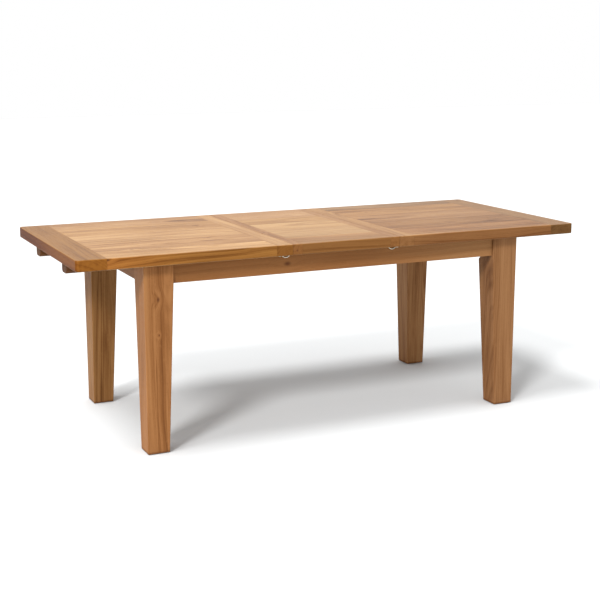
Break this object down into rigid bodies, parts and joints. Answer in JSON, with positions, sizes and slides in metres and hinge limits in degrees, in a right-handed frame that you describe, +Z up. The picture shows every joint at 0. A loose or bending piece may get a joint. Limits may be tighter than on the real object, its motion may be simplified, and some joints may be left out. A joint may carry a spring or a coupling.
{
  "type": "extendable dining table",
  "caption": "Oak dining table shown extended: sliding top halves on wooden rails, a drop-in leaf with swing catches, and tapered square legs.",
  "frame": {"origin": "floor level, under the middle of the table", "axes": "+X along the table towards the right half, +Y to the rear long side (front is -Y), +Z up"},
  "size_m": [2.156, 0.9, 0.77],
  "materials": {
    "oak_top": "oiled oak, satin",
    "oak_legs": "oiled oak, satin",
    "oak_aprons": "oiled oak, satin",
    "plain_hardwood": "unfinished hardwood",
    "rail_hardwood": "waxed hardwood",
    "zinc_steel": "zinc plated",
    "bright_steel": "bright nickel plated",
    "glide_plastic": "moulded nylon"
  },
  "bodies": {
    "frame": {"leg_front_left": "oak_legs", "leg_front_right": "oak_legs", "leg_rear_right": "oak_legs", "leg_rear_left": "oak_legs", "apron_front": "oak_aprons", "apron_rear": "oak_aprons", "apron_left": "oak_aprons", "apron_right": "oak_aprons", "corner_block_front_left": "plain_hardwood", "corner_block_front_right": "plain_hardwood", "corner_block_rear_right": "plain_hardwood", "corner_block_rear_left": "plain_hardwood", "hanger_bolts": "zinc_steel", "flange_nuts": "zinc_steel", "corner_block_screws": "zinc_steel", "foot_glides": "glide_plastic", "guide_outer_front": "plain_hardwood", "guide_outer_rear": "plain_hardwood", "guide_inner_front": "plain_hardwood", "guide_inner_rear": "plain_hardwood", "bearer_left": "plain_hardwood", "bearer_middle": "plain_hardwood", "bearer_right": "plain_hardwood", "guide_screws": "zinc_steel"},
    "left_top": {"left_breadboard_end": "oak_top", "left_plank_1": "oak_top", "left_plank_2": "oak_top", "left_plank_3": "oak_top", "left_plank_4": "oak_top", "left_plank_5": "oak_top", "left_cross_band": "oak_top", "left_rail_front": "rail_hardwood", "left_rail_rear": "rail_hardwood", "left_rail_screws": "zinc_steel", "left_catch_pivots": "bright_steel"},
    "right_top": {"right_breadboard_end": "oak_top", "right_plank_1": "oak_top", "right_plank_2": "oak_top", "right_plank_3": "oak_top", "right_plank_4": "oak_top", "right_plank_5": "oak_top", "right_cross_band": "oak_top", "right_rail_front": "rail_hardwood", "right_rail_rear": "rail_hardwood", "right_rail_screws": "zinc_steel", "right_catch_pivots": "bright_steel"},
    "leaf": {"leaf_band_left": "oak_top", "leaf_band_right": "oak_top", "leaf_plank_1": "oak_top", "leaf_plank_2": "oak_top", "leaf_plank_3": "oak_top", "leaf_plank_4": "oak_top", "leaf_plank_5": "oak_top", "leaf_keepers": "bright_steel", "leaf_keeper_screws": "zinc_steel"},
    "catch_front_left": {"catch_front_left": "bright_steel"},
    "catch_rear_left": {"catch_rear_left": "bright_steel"},
    "catch_front_right": {"catch_front_right": "bright_steel"},
    "catch_rear_right": {"catch_rear_right": "bright_steel"}
  },
  "joints": [
    {"name": "left_top_slide", "type": "slide", "parent": "frame", "child": "left_top", "axis": [-1, 0, 0], "range_m": [0, 0.06]},
    {"name": "right_top_slide", "type": "slide", "parent": "frame", "child": "right_top", "axis": [1, 0, 0], "range_m": [0, 0.06]},
    {"name": "leaf_lift", "type": "slide", "parent": "frame", "child": "leaf", "axis": [0, 0, 1], "range_m": [0, 0.4]},
    {"name": "catch_front_left_swing", "type": "hinge", "parent": "left_top", "child": "catch_front_left", "pos_m": [-0.274, -0.412, 0.7242], "axis": [0, 0, -1], "range_deg": [0, 180]},
    {"name": "catch_rear_left_swing", "type": "hinge", "parent": "left_top", "child": "catch_rear_left", "pos_m": [-0.274, 0.412, 0.7242], "axis": [0, 0, 1], "range_deg": [0, 180]},
    {"name": "catch_front_right_swing", "type": "hinge", "parent": "right_top", "child": "catch_front_right", "pos_m": [0.242, -0.412, 0.7242], "axis": [0, 0, 1], "range_deg": [0, 180]},
    {"name": "catch_rear_right_swing", "type": "hinge", "parent": "right_top", "child": "catch_rear_right", "pos_m": [0.242, 0.412, 0.7242], "axis": [0, 0, -1], "range_deg": [0, 180]}
  ]
}
